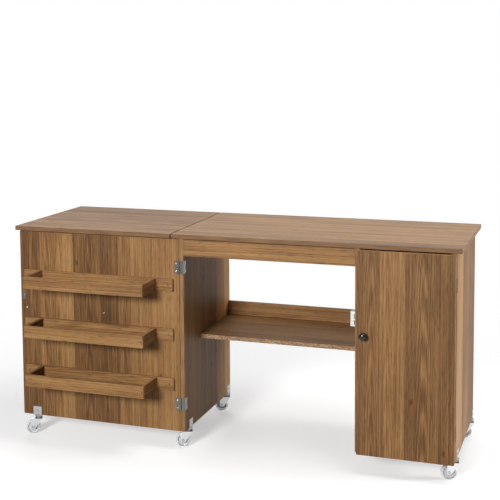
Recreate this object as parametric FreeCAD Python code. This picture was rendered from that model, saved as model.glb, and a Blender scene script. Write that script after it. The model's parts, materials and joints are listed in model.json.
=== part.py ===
import FreeCAD, Part
import math
import os

# Folding sewing desk on casters: a narrow cabinet, a knee hole with one shelf, a wide door with three
# racks that swings out beside the desk, and a side leaf that the open door carries.
# Millimetres. In this script x = 0 is the outer face of the left upright, y = 0 the front edge of the
# upright panels (+y runs to the back) and z = 0 the floor. ORIGIN moves the finished pieces.

V = FreeCAD.Vector
RIGHT = V(1, 0, 0)
LEFT = V(-1, 0, 0)
BACK = V(0, 1, 0)
FRONT = V(0, -1, 0)
UP = V(0, 0, 1)
DOWN = V(0, 0, -1)
FULL_TURN = 360.0

# Boards and the carcass
DESK_HEIGHT = 760.0
BOARD = 15.0
TOP_DEPTH = 517.0
TOP_FRONT_OVERHANG = 4.0
TOP_BACK_OVERHANG = 38.0
TOP_SIDE_OVERHANG = 16.0
KNEE_WIDTH = 595.0
CABINET_WIDTH = 294.0
APRON_HEIGHT = 60.0
KNEE_SHELF_TOP = 378.0
KNEE_SHELF_SETBACK = 152.0
RAIL_HEIGHT = 50.0
BACK_BOARD = 5.0
BOTTOM_CLEARANCE = 3.0
SHELF_RISE_LOWER = 195.0
SHELF_RISE_UPPER = 405.0
SHELF_SETBACK = 12.0
SHELF_PLAY = 0.5

# Side leaf and its fold line, left of the upright
SEAM_SETBACK = 31.0
SEAM_GAP = 4.0
FOLD_RATIO = 0.5
FOLD_CLEARANCE = 1.0
STOP_THICK = 12.0
STOP_DROP = 8.0
STOP_GAP = 2.0
STOP_END = 20.0

# Doors
DOORS_APART = 3.0
DOOR_EDGE_GAP = 1.0

# Butt hinges with rolled knuckles
PIN_R = 1.5
PIN_FIT = 0.05
PIN_HEAD_R = 2.3
PIN_HEAD = 1.0
LEAF_STEEL = 1.0
BARREL_CLEARANCE = 0.25
HINGE_LENGTH = 44.0
HINGE_LEAF = 17.0
HINGE_FLANGE = 20.0
HINGE_END = 75.0
TOP_HINGE_END = 60.0
TOP_HINGE_MARGIN = 6.0
KNUCKLES = 3
KNUCKLE_GAP = 0.4
HINGE_SCREW_R = 1.8
HINGE_SCREW_INSET = 5.5
HINGE_SCREW_END = 9.0

# Racks on the wide door
RACK_ROWS = ("upper", "middle", "lower")
RACK_BOARD = 12.0
RACK_HEIGHT = 42.0
RACK_DEPTH = 130.0
RACK_BOTTOM = 6.0
RACK_FIRST = 137.0
RACK_LAST = 188.0
RACK_RAIL = 575.0
RACK_TRAY = 451.0
RACK_ROUND = 4.0

# Knobs, each held by a screw from the inner face. Their height is a share of the gap between two racks.
KNOB_R = 13.0
KNOB_FOOT_R = 7.5
KNOB_NECK_R = 5.5
KNOB_NECK = 8.0
KNOB_HEIGHT = 25.0
KNOB_GAP_SHARE = 0.256
KNOB_EDGE = 24.0
KNOB_MIDDLE = 287.0
SCREW_R = 2.0
SCREW_FIT = 0.05
SCREW_HEAD_R = 4.0
SCREW_HEAD = 2.2
SCREW_BITE = 10.0

# Magnetic catches and their strike plates
CATCH_PROUD = 15.0
CATCH_DEPTH = 26.0
CATCH_HEIGHT = 50.0
CATCH_SETBACK = 2.0
CATCH_ROUND = 2.0
CATCH_DROP = 230.0
NOSE_WIDTH = 10.0
NOSE_HEIGHT = 14.0
NOSE_PITCH = 20.0
MAGNET_GAP = 0.3
STRIKE_STEEL = 1.5
STRIKE_WIDTH = 12.0
STRIKE_HEIGHT = 36.0
STRIKE_ROUND = 2.0

# Casters: a clamp round the panel's lower edge, a swivel stud, a fork and a wheel
WHEEL_R = 25.0
WHEEL_WIDTH = 18.0
WHEEL_ROUND = 4.0
RIM_R = 18.5
WEB = 7.0
HUB_R = 8.0
HUB_GAP = 0.3
HUB_ROUND = 0.8
AXLE_R = 3.0
AXLE_FIT = 0.05
AXLE_HEAD_R = 5.0
AXLE_HEAD = 1.2
WHEEL_SIDE_GAP = 1.2
FORK_STEEL = 1.8
FORK_EYE = 7.0
FORK_EYE_FULLNESS = 0.95
FORK_NOSE = 13.0
FORK_HOOD_ROUND = 12.0
FORK_NOSE_ROUND = 1.5
CROWN_CLEARANCE = 4.0
RACE_GAP = 0.3
COLLAR_R = 10.5
COLLAR_FLANGE_R = 14.0
COLLAR_FLANGE = 3.0
COLLAR = 12.0
STUD_R = 4.0
STUD_FIT = 0.05
STUD_HEAD_R = 6.5
STUD_HEAD = 2.0
TRAIL = 20.0
TRAIL_TURN = 20.0
CLAMP_STEEL = 1.5
CLAMP_WIDTH = 33.0
CLAMP_HEIGHT = 31.0
CLAMP_ROUND = 3.0
CLAMP_HOLE_R = 2.5
CASTER_FRONT = 54.0
CASTER_REAR = 20.0
CASTER_DOOR = 56.0

# Knock-down fittings and shelf pins
CAM_R = 7.5
CAM_FLOOR = 3.0
CAM_SETBACK = 24.0
CAM_FIT = 0.05
CAM_INSET = 50.0
CAM_TOP_INSET = 100.0
BOLT_R = 3.0
BOLT_BITE = 10.0
BOLT_FIT = 0.05
SHELF_PIN_R = 2.5
SHELF_PIN_BITE = 8.0
SHELF_PIN_OUT = 8.0
SHELF_PIN_INSET = 60.0
SHELF_PIN_FIT = 0.05
SHELF_PIN_REST = 0.05

# Heights and places that follow from the sizes above
CROWN_UNDER = 2 * WHEEL_R + CROWN_CLEARANCE
CROWN_TOP = CROWN_UNDER + FORK_STEEL
PANEL_FOOT = CROWN_TOP + RACE_GAP + COLLAR + CLAMP_STEEL
TOP_UNDER = DESK_HEIGHT - BOARD
PANEL_DEPTH = TOP_DEPTH - TOP_FRONT_OVERHANG - TOP_BACK_OVERHANG
BARREL_R = PIN_R + PIN_FIT + LEAF_STEEL
PIN_OFFSET = BARREL_R + BARREL_CLEARANCE
DOOR_CLOSED_GAP = 2 * PIN_OFFSET
CAM_DEPTH = BOARD - CAM_FLOOR

UPRIGHT_X = (0.0, BOARD)
KNEE_X = (UPRIGHT_X[1], UPRIGHT_X[1] + KNEE_WIDTH)
INNER_X = (KNEE_X[1], KNEE_X[1] + BOARD)
CABINET_X = (INNER_X[1], INNER_X[1] + CABINET_WIDTH)
OUTER_X = (CABINET_X[1], CABINET_X[1] + BOARD)
PANEL_Y = (0.0, PANEL_DEPTH)
PANEL_Z = (PANEL_FOOT, TOP_UNDER)
TOP_Y = (-TOP_FRONT_OVERHANG, TOP_DEPTH - TOP_FRONT_OVERHANG)
TOP_Z = (TOP_UNDER, DESK_HEIGHT)

DOORS_MEET = INNER_X[0] + BOARD / 2
WIDE_REACH = DOORS_MEET - DOORS_APART / 2
NARROW_X = (DOORS_MEET + DOORS_APART / 2, OUTER_X[1] - DOOR_EDGE_GAP)
WIDE_X = (-WIDE_REACH, -DOOR_EDGE_GAP)
NARROW_Y = (-DOOR_CLOSED_GAP - BOARD, -DOOR_CLOSED_GAP)
MAIN_TOP_X = (SEAM_GAP / 2 - SEAM_SETBACK, OUTER_X[1] + TOP_SIDE_OVERHANG)
LEAF_X = (-WIDE_REACH - TOP_SIDE_OVERHANG, -SEAM_SETBACK - SEAM_GAP / 2)


def door_top(depth):
    """Top of the wide door at a depth behind its inner face, low enough for the leaf to fold past."""
    return TOP_UNDER - FOLD_RATIO * (TOP_FRONT_OVERHANG + depth) - FOLD_CLEARANCE


DOOR_TOP = door_top(0.0)
DOOR_Z = (PANEL_FOOT, DOOR_TOP)
RACK_HIGHEST = DOOR_TOP - RACK_FIRST
RACK_PITCH = (RACK_HIGHEST - PANEL_FOOT - RACK_LAST) / (len(RACK_ROWS) - 1)
KNOB_Z = RACK_HIGHEST - RACK_PITCH + KNOB_GAP_SHARE * (RACK_PITCH - RACK_HEIGHT)
CATCH_Z = DOOR_TOP - CATCH_DROP
CATCH_NOSE = STRIKE_STEEL + MAGNET_GAP - DOOR_CLOSED_GAP
CABINET_UNDER = PANEL_FOOT + CLAMP_HEIGHT + BOTTOM_CLEARANCE
CABINET_FLOOR = CABINET_UNDER + BOARD
SHELF_UNDERS = (CABINET_FLOOR + SHELF_RISE_LOWER, CABINET_FLOOR + SHELF_RISE_UPPER)
SHELF_Y = (CATCH_SETBACK + CATCH_DEPTH + SHELF_SETBACK, PANEL_DEPTH - BACK_BOARD - SHELF_PLAY)
WIDE_PIN = V(0, -PIN_OFFSET, 0)
NARROW_PIN = V(OUTER_X[1], -PIN_OFFSET, 0)
LEAF_PIN = V(-SEAM_SETBACK, 0, TOP_UNDER - PIN_OFFSET)

# The part's own origin: on the floor, under the middle of the open desk
ORIGIN = V((LEAF_X[0] + MAIN_TOP_X[1]) / 2, (TOP_Y[1] - RACK_DEPTH) / 2, 0)

nodes = {}
cutters = {}


# Small helpers

def board(x, y, z):
    """A rectangular board between two limits on each axis."""
    return Part.makeBox(x[1] - x[0], y[1] - y[0], z[1] - z[0], V(x[0], y[0], z[0]))


def rod(radius, start, along, length):
    return Part.makeCylinder(radius, length, start, along)


def fuse(shapes):
    return shapes[0].multiFuse(shapes[1:]).removeSplitter()


def stand(shape, origin, x_axis, y_axis):
    """Take a shape drawn about the world axes to another origin and other axes."""
    turn = FreeCAD.Rotation(x_axis, y_axis, x_axis.cross(y_axis), "XYZ")
    return shape.transformed(FreeCAD.Placement(origin, turn).toMatrix())


def rounded_face(corners, across, up):
    """A flat face through corners (a, b, radius), each corner rounded by its own radius."""
    points = [across * a + up * b for a, b, radius in corners]
    edges = []
    starts = []
    ends = []
    for index, (a, b, radius) in enumerate(corners):
        here = points[index]
        to_last = (points[index - 1] - here).normalize()
        to_next = (points[(index + 1) % len(points)] - here).normalize()
        half = to_last.getAngle(to_next) / 2
        reach = radius / math.tan(half)
        starts.append(here + to_last * reach)
        ends.append(here + to_next * reach)
        if radius > 0:
            middle = (to_last + to_next).normalize()
            crown = here + middle * (radius / math.sin(half) - radius)
            edges.append(Part.Arc(starts[-1], crown, ends[-1]).toShape())
    for index in range(len(points)):
        edges.append(Part.makeLine(ends[index - 1], starts[index]))
    return Part.Face(Part.Wire(Part.__sortEdges__(edges)))


def plate(corners, across, up, start, reach):
    """A plate with a rounded outline, which begins at start and is drawn out along reach."""
    outline = rounded_face(corners, across, up)
    outline.translate(start)
    return outline.extrude(reach)


def add(name, shapes):
    nodes[name] = shapes if isinstance(shapes, list) else [shapes]


def bore(name, tool):
    """Remember a tool that is cut out of a node when every piece has been made."""
    cutters.setdefault(name, []).append(tool)


# Carcass boards

def make_carcass():
    add("main_top", board(MAIN_TOP_X, TOP_Y, TOP_Z))
    add("left_upright", board(UPRIGHT_X, PANEL_Y, PANEL_Z))
    add("cabinet_inner_side", board(INNER_X, PANEL_Y, PANEL_Z))
    add("cabinet_outer_side", board(OUTER_X, PANEL_Y, PANEL_Z))
    add("cabinet_bottom", board(CABINET_X, PANEL_Y, (CABINET_UNDER, CABINET_FLOOR)))
    back_y = (PANEL_DEPTH - BACK_BOARD, PANEL_DEPTH)
    add("cabinet_back", board(CABINET_X, back_y, (CABINET_FLOOR, TOP_UNDER)))
    add("front_apron", board(KNEE_X, (0, BOARD), (TOP_UNDER - APRON_HEIGHT, TOP_UNDER)))
    shelf_y = (KNEE_SHELF_SETBACK, PANEL_DEPTH)
    add("kneehole_shelf", board(KNEE_X, shelf_y, (KNEE_SHELF_TOP - BOARD, KNEE_SHELF_TOP)))
    rail_z = (KNEE_SHELF_TOP, KNEE_SHELF_TOP + RAIL_HEIGHT)
    add("kneehole_back_rail", board(KNEE_X, (PANEL_DEPTH - BOARD, PANEL_DEPTH), rail_z))


def make_cabinet_shelves():
    """Two loose shelves, each on four pins in the cabinet's sides."""
    shelf_x = (CABINET_X[0] + SHELF_PLAY, CABINET_X[1] - SHELF_PLAY)
    shelves = []
    pins = []
    for under in SHELF_UNDERS:
        shelves.append(board(shelf_x, SHELF_Y, (under, under + BOARD)))
        pin_z = under - SHELF_PIN_R - SHELF_PIN_REST
        for pin_y in (SHELF_Y[0] + SHELF_PIN_INSET, SHELF_Y[1] - SHELF_PIN_INSET):
            for side, face_x, inward in (("inner", CABINET_X[0], 1), ("outer", CABINET_X[1], -1)):
                start = V(face_x - inward * SHELF_PIN_BITE, pin_y, pin_z)
                length = SHELF_PIN_BITE + SHELF_PIN_OUT
                pins.append(rod(SHELF_PIN_R, start, RIGHT * inward, length))
                hole = rod(SHELF_PIN_R + SHELF_PIN_FIT, start, RIGHT * inward, length)
                bore("cabinet_" + side + "_side", hole)
    add("cabinet_shelves", shelves)
    add("shelf_pins", pins)


# Knock-down fittings: a bolt in one board, drawn tight by a cam in the other

def cam_fitting(cammed, carrier, face, bolt_way, cam_way):
    """A cam in one board and its bolt in the other, where the bolt crosses the joint at face."""
    bolt_start = face - bolt_way * BOLT_BITE
    bolt_length = BOLT_BITE + CAM_SETBACK
    bolt = rod(BOLT_R, bolt_start, bolt_way, bolt_length)
    bolt_hole = rod(BOLT_R + BOLT_FIT, bolt_start, bolt_way, bolt_length + BOLT_FIT)
    mouth = face + bolt_way * CAM_SETBACK + cam_way * (BOARD / 2)
    cam = rod(CAM_R, mouth, cam_way * -1, CAM_DEPTH).cut(bolt_hole)
    pocket = rod(CAM_R + CAM_FIT, mouth, cam_way * -1, CAM_DEPTH + CAM_FIT)
    bore(cammed, pocket)
    bore(cammed, bolt_hole)
    bore(carrier, bolt_hole)
    return cam, bolt


def make_fittings():
    joints = []
    shelf_rows = (KNEE_SHELF_SETBACK + CAM_INSET, PANEL_DEPTH - CAM_INSET)
    bottom_rows = (CAM_INSET, PANEL_DEPTH - CAM_INSET)
    knee_ends = (("left_upright", KNEE_X[0], RIGHT), ("cabinet_inner_side", KNEE_X[1], LEFT))
    cabinet_ends = (("cabinet_inner_side", CABINET_X[0], RIGHT), ("cabinet_outer_side", CABINET_X[1], LEFT))
    for carrier, x, way in knee_ends:
        shelf_z = KNEE_SHELF_TOP - BOARD / 2
        for y in shelf_rows:
            joints.append(("kneehole_shelf", carrier, V(x, y, shelf_z), way, DOWN))
        apron_at = V(x, BOARD / 2, TOP_UNDER - APRON_HEIGHT / 2)
        joints.append(("front_apron", carrier, apron_at, way, BACK))
        rail_at = V(x, PANEL_DEPTH - BOARD / 2, KNEE_SHELF_TOP + RAIL_HEIGHT / 2)
        joints.append(("kneehole_back_rail", carrier, rail_at, way, BACK))
    for carrier, x, way in cabinet_ends:
        for y in bottom_rows:
            joints.append(("cabinet_bottom", carrier, V(x, y, CABINET_UNDER + BOARD / 2), way, DOWN))
    panels = (("left_upright", UPRIGHT_X, RIGHT), ("cabinet_inner_side", INNER_X, RIGHT),
              ("cabinet_outer_side", OUTER_X, LEFT))
    for cammed, x, cam_way in panels:
        for y in (CAM_TOP_INSET, PANEL_DEPTH - CAM_TOP_INSET):
            at = V((x[0] + x[1]) / 2, y, TOP_UNDER)
            joints.append((cammed, "main_top", at, DOWN, cam_way))
    pairs = [cam_fitting(*joint) for joint in joints]
    add("cam_locks", [cam for cam, bolt in pairs])
    add("cam_bolts", [bolt for cam, bolt in pairs])


# Butt hinges. A leaf is drawn with its pin on the Z axis and its plate along +X, so that the board it
# lies on has its face at y = -PIN_OFFSET.

def knuckle_zone(first, last):
    """The room that knuckles first to last of a hinge take, with the gap to their neighbours."""
    pitch = HINGE_LENGTH / KNUCKLES
    reach = BARREL_R + BARREL_CLEARANCE
    z = (first * pitch - KNUCKLE_GAP / 2, (last + 1) * pitch + KNUCKLE_GAP / 2)
    return board((-reach, reach), (-PIN_OFFSET - BARREL_CLEARANCE, reach), z)


def finish_leaf(pieces, other_knuckles):
    leaf = fuse(pieces + [rod(BARREL_R, V(), UP, HINGE_LENGTH)])
    leaf = leaf.cut(rod(PIN_R + PIN_FIT, V(), UP, HINGE_LENGTH))
    for knuckle in other_knuckles:
        leaf = leaf.cut(knuckle_zone(knuckle, knuckle))
    return leaf


def flat_leaf(width, other_knuckles):
    """A plain leaf with two screw holes near its free edge."""
    plate_y = (-PIN_OFFSET, LEAF_STEEL - PIN_OFFSET)
    leaf = finish_leaf([board((0, width), plate_y, (0, HINGE_LENGTH))], other_knuckles)
    for z in (HINGE_SCREW_END, HINGE_LENGTH - HINGE_SCREW_END):
        start = V(width - HINGE_SCREW_INSET, -PIN_OFFSET, z)
        leaf = leaf.cut(rod(HINGE_SCREW_R, start, BACK, LEAF_STEEL))
    return leaf


def wrap_leaf(other_knuckles):
    """A leaf that goes over the edge of a panel and is screwed to the panel's inner face."""
    over = board((0, BOARD + LEAF_STEEL), (-PIN_OFFSET, LEAF_STEEL - PIN_OFFSET), (0, HINGE_LENGTH))
    flange_x = (BOARD, BOARD + LEAF_STEEL)
    flange_y = (-PIN_OFFSET - HINGE_FLANGE, LEAF_STEEL - PIN_OFFSET)
    leaf = finish_leaf([over, board(flange_x, flange_y, (0, HINGE_LENGTH))], other_knuckles)
    for z in (HINGE_SCREW_END, HINGE_LENGTH - HINGE_SCREW_END):
        start = V(BOARD, HINGE_SCREW_INSET - PIN_OFFSET - HINGE_FLANGE, z)
        leaf = leaf.cut(rod(HINGE_SCREW_R, start, RIGHT, LEAF_STEEL))
    return leaf


def hinge_pin():
    """A straight pin with a head outside each end of the barrel."""
    pin = rod(PIN_R, V(0, 0, -PIN_HEAD), UP, HINGE_LENGTH + 2 * PIN_HEAD)
    low_head = rod(PIN_HEAD_R, V(0, 0, -PIN_HEAD), UP, PIN_HEAD - PIN_FIT)
    high_head = rod(PIN_HEAD_R, V(0, 0, HINGE_LENGTH + PIN_FIT), UP, PIN_HEAD - PIN_FIT)
    return fuse([pin, low_head, high_head])


def make_hinges():
    outer = (0, KNUCKLES - 1)
    middle = range(1, KNUCKLES - 1)
    pin = hinge_pin()
    frame_leaf = wrap_leaf(middle)
    door_leaf = flat_leaf(HINGE_LEAF, outer)
    top_leaf = flat_leaf(SEAM_SETBACK - TOP_HINGE_MARGIN, middle)
    fold_leaf = flat_leaf(SEAM_SETBACK - TOP_HINGE_MARGIN, outer)
    door_rows = (DOOR_Z[0] + HINGE_END, DOOR_Z[1] - HINGE_END - HINGE_LENGTH)
    top_rows = (TOP_Y[0] + TOP_HINGE_END, (TOP_Y[0] + TOP_Y[1] - HINGE_LENGTH) / 2,
                TOP_Y[1] - TOP_HINGE_END - HINGE_LENGTH)
    wide = [WIDE_PIN + UP * z for z in door_rows]
    narrow = [NARROW_PIN + UP * z for z in door_rows]
    fold = [LEAF_PIN + BACK * y for y in top_rows]
    tall = UP * HINGE_LENGTH
    deep = BACK * HINGE_LENGTH
    add("wide_door_frame_hinges", [stand(frame_leaf, at + tall, RIGHT, FRONT) for at in wide])
    add("wide_door_hinges", [stand(door_leaf, at, LEFT, FRONT) for at in wide])
    add("narrow_door_frame_hinges", [stand(frame_leaf, at, LEFT, FRONT) for at in narrow])
    add("narrow_door_hinges", [stand(door_leaf, at + tall, LEFT, BACK) for at in narrow])
    add("main_top_hinges", [stand(top_leaf, at, RIGHT, DOWN) for at in fold])
    add("side_leaf_hinges", [stand(fold_leaf, at + deep, LEFT, DOWN) for at in fold])
    pins = [stand(pin, at, RIGHT, BACK) for at in wide + narrow]
    pins += [stand(pin, at, RIGHT, DOWN) for at in fold]
    add("hinge_pins", pins)


# Doors and side leaf

def make_panels():
    add("side_leaf_panel", board(LEAF_X, TOP_Y, TOP_Z))
    corners = ((0, DOOR_Z[0], 0), (BOARD, DOOR_Z[0], 0), (BOARD, door_top(BOARD), 0), (0, DOOR_TOP, 0))
    width = RIGHT * (WIDE_X[1] - WIDE_X[0])
    add("wide_door_panel", plate(corners, BACK, UP, RIGHT * WIDE_X[0], width))
    add("narrow_door_panel", board(NARROW_X, NARROW_Y, DOOR_Z))


def make_stops():
    """A strip under the leaf and a short one under the main top, which the open door comes to rest at."""
    y = (BOARD + STOP_GAP, BOARD + STOP_GAP + STOP_THICK)
    z = (TOP_UNDER - STOP_DROP, TOP_UNDER)
    add("leaf_stop", board((LEAF_X[0] + STOP_END, -SEAM_SETBACK - STOP_DROP), y, z))
    add("top_stop", board((MAIN_TOP_X[0] + STOP_GAP, UPRIGHT_X[0]), y, z))


# Racks

def make_racks():
    """Shallow trays on the wide door, each hung on a longer rail that is screwed to the door."""
    middle = (WIDE_X[0] + WIDE_X[1]) / 2
    tray_x = (middle - RACK_TRAY / 2, middle + RACK_TRAY / 2)
    inside_x = (tray_x[0] + RACK_BOARD, tray_x[1] - RACK_BOARD)
    inside_y = (RACK_BOARD - RACK_DEPTH, -RACK_BOARD)
    ends = []
    for row, place in enumerate(RACK_ROWS):
        top = RACK_HIGHEST - row * RACK_PITCH
        foot = top - RACK_HEIGHT
        rail_ends = (middle - RACK_RAIL / 2, middle + RACK_RAIL / 2)
        rail_corners = [(x, z, RACK_ROUND) for x, z in ((rail_ends[0], foot), (rail_ends[1], foot),
                                                       (rail_ends[1], top), (rail_ends[0], top))]
        add(place + "_rack_back_rail", plate(rail_corners, RIGHT, UP, V(), FRONT * RACK_BOARD))
        front_y = (-RACK_DEPTH, RACK_BOARD - RACK_DEPTH)
        add(place + "_rack_front_rail", board(tray_x, front_y, (foot, top)))
        add(place + "_rack_bottom", board(inside_x, inside_y, (foot, foot + RACK_BOTTOM)))
        ends.append(board((tray_x[0], inside_x[0]), inside_y, (foot, top)))
        ends.append(board((inside_x[1], tray_x[1]), inside_y, (foot, top)))
    add("rack_ends", ends)


# Knobs

def knob_shape():
    """A mushroom knob that stands on the origin and points along +Z, with a blind hole for its screw."""
    neck_round = (KNOB_FOOT_R - KNOB_NECK_R) / 2
    cap_round = (KNOB_HEIGHT - KNOB_NECK) / 2
    corners = ((0, 0, 0), (KNOB_FOOT_R, 0, 0), (KNOB_NECK_R, KNOB_NECK, neck_round),
               (KNOB_R, KNOB_NECK, cap_round / 2), (KNOB_R, KNOB_HEIGHT, cap_round), (0, KNOB_HEIGHT, 0))
    cap = rounded_face(corners, RIGHT, UP).revolve(V(), UP, FULL_TURN)
    return cap.cut(rod(SCREW_R + SCREW_FIT, V(), UP, SCREW_BITE + SCREW_FIT))


def knob_screw():
    """A pan-head screw along +Z, whose head lies below z = 0 and whose shank goes through a door."""
    shank = rod(SCREW_R, V(), UP, BOARD + SCREW_BITE)
    corners = ((0, -SCREW_HEAD, 0), (SCREW_HEAD_R, -SCREW_HEAD, SCREW_HEAD / 2),
               (SCREW_HEAD_R, 0, 0), (0, 0, 0))
    head = rounded_face(corners, RIGHT, UP).revolve(V(), UP, FULL_TURN)
    return fuse([shank, head])


def make_knobs():
    hole = rod(SCREW_R + SCREW_FIT, V(), UP, BOARD)
    wide_at = [V(-KNOB_MIDDLE, 0, KNOB_Z), V(WIDE_X[0] + KNOB_EDGE, 0, KNOB_Z)]
    narrow_at = V(NARROW_X[0] + KNOB_EDGE, NARROW_Y[1], KNOB_Z)
    add("wide_door_knobs", [stand(knob_shape(), at + BACK * BOARD, RIGHT, DOWN) for at in wide_at])
    add("wide_door_knob_screws", [stand(knob_screw(), at, RIGHT, DOWN) for at in wide_at])
    for at in wide_at:
        bore("wide_door_panel", stand(hole, at, RIGHT, DOWN))
    add("narrow_door_knob", stand(knob_shape(), narrow_at + FRONT * BOARD, RIGHT, UP))
    add("narrow_door_knob_screw", stand(knob_screw(), narrow_at, RIGHT, UP))
    bore("narrow_door_panel", stand(hole, narrow_at, RIGHT, UP))


# Magnetic catches and strike plates

def catch_shape(x):
    """A catch body screwed to a panel's face, with two magnet noses that reach the closed door's strike."""
    y = (CATCH_SETBACK, CATCH_SETBACK + CATCH_DEPTH)
    z = (CATCH_Z - CATCH_HEIGHT / 2, CATCH_Z + CATCH_HEIGHT / 2)
    corners = [(y[0], z[0], CATCH_ROUND), (y[1], z[0], CATCH_ROUND),
               (y[1], z[1], CATCH_ROUND), (y[0], z[1], CATCH_ROUND)]
    body = plate(corners, BACK, UP, RIGHT * x[0], RIGHT * (x[1] - x[0]))
    centre = (x[0] + x[1]) / 2
    nose_x = (centre - NOSE_WIDTH / 2, centre + NOSE_WIDTH / 2)
    noses = []
    for side in (-1, 1):
        nose_z = CATCH_Z + side * NOSE_PITCH / 2
        noses.append(board(nose_x, (CATCH_NOSE, y[1]), (nose_z - NOSE_HEIGHT / 2, nose_z + NOSE_HEIGHT / 2)))
    return fuse([body] + noses)


def strike_shape(centre_x, face_y, way):
    """A steel plate on a door's inner face, opposite a catch."""
    corners = [(centre_x + across * STRIKE_WIDTH / 2, CATCH_Z + up * STRIKE_HEIGHT / 2, STRIKE_ROUND)
               for across, up in ((-1, -1), (1, -1), (1, 1), (-1, 1))]
    return plate(corners, RIGHT, UP, BACK * face_y, way * STRIKE_STEEL)


def make_catches():
    wide_catch = (INNER_X[0] - CATCH_PROUD, INNER_X[0])
    narrow_catch = (INNER_X[1], INNER_X[1] + CATCH_PROUD)
    add("wide_door_catch", catch_shape(wide_catch))
    add("narrow_door_catch", catch_shape(narrow_catch))
    add("wide_door_strike", strike_shape(-sum(wide_catch) / 2, 0, FRONT))
    add("narrow_door_strike", strike_shape(sum(narrow_catch) / 2, NARROW_Y[1], BACK))


# Casters. Each is drawn about its swivel axis, the Z axis, with the floor at z = 0.

def clamp_shape():
    """A U-shaped clamp round a panel that is thick along X, with the swivel collar and its stud."""
    half = CLAMP_WIDTH / 2
    outer_x = BOARD / 2 + CLAMP_STEEL
    foot = PANEL_FOOT - CLAMP_STEEL
    top = PANEL_FOOT + CLAMP_HEIGHT
    corners = ((-half, foot, 0), (half, foot, 0), (half, top, CLAMP_ROUND), (-half, top, CLAMP_ROUND))
    block = plate(corners, BACK, UP, LEFT * outer_x, RIGHT * (2 * outer_x))
    clamp = block.cut(board((-BOARD / 2, BOARD / 2), (-half, half), (PANEL_FOOT, top)))
    hole_z = PANEL_FOOT + CLAMP_HEIGHT / 2
    clamp = clamp.cut(rod(CLAMP_HOLE_R, V(-outer_x, 0, hole_z), RIGHT, 2 * outer_x))
    collar_foot = CROWN_TOP + RACE_GAP
    collar = rod(COLLAR_R, V(0, 0, collar_foot), UP, COLLAR)
    flange = rod(COLLAR_FLANGE_R, V(0, 0, foot - COLLAR_FLANGE), UP, COLLAR_FLANGE)
    head_foot = CROWN_UNDER - RACE_GAP - STUD_HEAD
    stud = rod(STUD_R, V(0, 0, head_foot), UP, collar_foot - head_foot)
    head = rod(STUD_HEAD_R, V(0, 0, head_foot), UP, STUD_HEAD)
    return fuse([clamp, collar, flange, stud, head])


def fork_shape():
    """A pressed fork whose crown turns on the stud and whose legs hold the axle behind it, along +X."""
    half_in = WHEEL_WIDTH / 2 + WHEEL_SIDE_GAP
    half_out = half_in + FORK_STEEL
    heel = TRAIL + FORK_EYE
    eye_foot = WHEEL_R - FORK_EYE
    eye_round = FORK_EYE * FORK_EYE_FULLNESS
    corners = ((-FORK_NOSE, CROWN_UNDER, 0), (TRAIL - FORK_EYE, eye_foot, eye_round),
               (heel, eye_foot, eye_round), (heel, CROWN_TOP, FORK_HOOD_ROUND),
               (-FORK_NOSE, CROWN_TOP, FORK_NOSE_ROUND))
    block = plate(corners, RIGHT, UP, FRONT * half_out, BACK * (2 * half_out))
    slot = board((-FORK_NOSE, heel), (-half_in, half_in), (0, CROWN_UNDER))
    fork = block.cut(slot)
    fork = fork.cut(rod(STUD_R + STUD_FIT, V(0, 0, CROWN_UNDER), UP, FORK_STEEL))
    return fork.cut(rod(AXLE_R + AXLE_FIT, V(TRAIL, -half_out, WHEEL_R), BACK, 2 * half_out))


def axle_shape():
    """A riveted axle with a head outside each leg of the fork."""
    half = WHEEL_WIDTH / 2 + WHEEL_SIDE_GAP + FORK_STEEL
    shaft = rod(AXLE_R, V(TRAIL, -half, WHEEL_R), BACK, 2 * half)
    heads = [rod(AXLE_HEAD_R, V(TRAIL, half, WHEEL_R), BACK, AXLE_HEAD),
             rod(AXLE_HEAD_R, V(TRAIL, -half, WHEEL_R), FRONT, AXLE_HEAD)]
    return fuse([shaft] + heads)


def wheel_shape():
    """A moulded wheel: hub, thin web and round-shouldered tyre, turned about its axle."""
    hub_half = WHEEL_WIDTH / 2 + WHEEL_SIDE_GAP - HUB_GAP
    half = [(AXLE_R + AXLE_FIT, hub_half, 0), (HUB_R, hub_half, HUB_ROUND), (HUB_R, WEB / 2, 0),
            (RIM_R, WEB / 2, 0), (RIM_R, WHEEL_WIDTH / 2, 0), (WHEEL_R, WHEEL_WIDTH / 2, WHEEL_ROUND)]
    other = [(radius, -width, rounding) for radius, width, rounding in reversed(half)]
    wheel = rounded_face(half + other, RIGHT, BACK).revolve(V(), BACK, FULL_TURN)
    wheel.translate(V(TRAIL, 0, WHEEL_R))
    return wheel


def make_casters():
    """Four casters under the carcass and one under the wide door's free end, all trailing the same way."""
    turn = math.radians(TRAIL_TURN)
    trail_way = V(-math.cos(turn), -math.sin(turn), 0)
    axle_way = UP.cross(trail_way)
    upright = sum(UPRIGHT_X) / 2
    outer = sum(OUTER_X) / 2
    rear = PANEL_DEPTH - CASTER_REAR
    places = {"upright_front": V(upright, CASTER_FRONT, 0), "upright_rear": V(upright, rear, 0),
              "cabinet_front": V(outer, CASTER_FRONT, 0), "cabinet_rear": V(outer, rear, 0),
              "door": V(WIDE_X[0] + CASTER_DOOR, BOARD / 2, 0)}
    clamps = []
    for name, at in places.items():
        if name == "door":
            add("door_caster_clamp", stand(clamp_shape(), at, BACK, LEFT))
        else:
            clamps.append(stand(clamp_shape(), at, RIGHT, BACK))
        add(name + "_caster_fork", stand(fork_shape(), at, trail_way, axle_way))
        add(name + "_caster_axle", stand(axle_shape(), at, trail_way, axle_way))
        add(name + "_caster_wheel", stand(wheel_shape(), at, trail_way, axle_way))
        report_axis(name + " swivel", at, UP)
        report_axis(name + " wheel", at + trail_way * TRAIL + UP * WHEEL_R, axle_way)
    add("caster_clamps", clamps)


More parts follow.
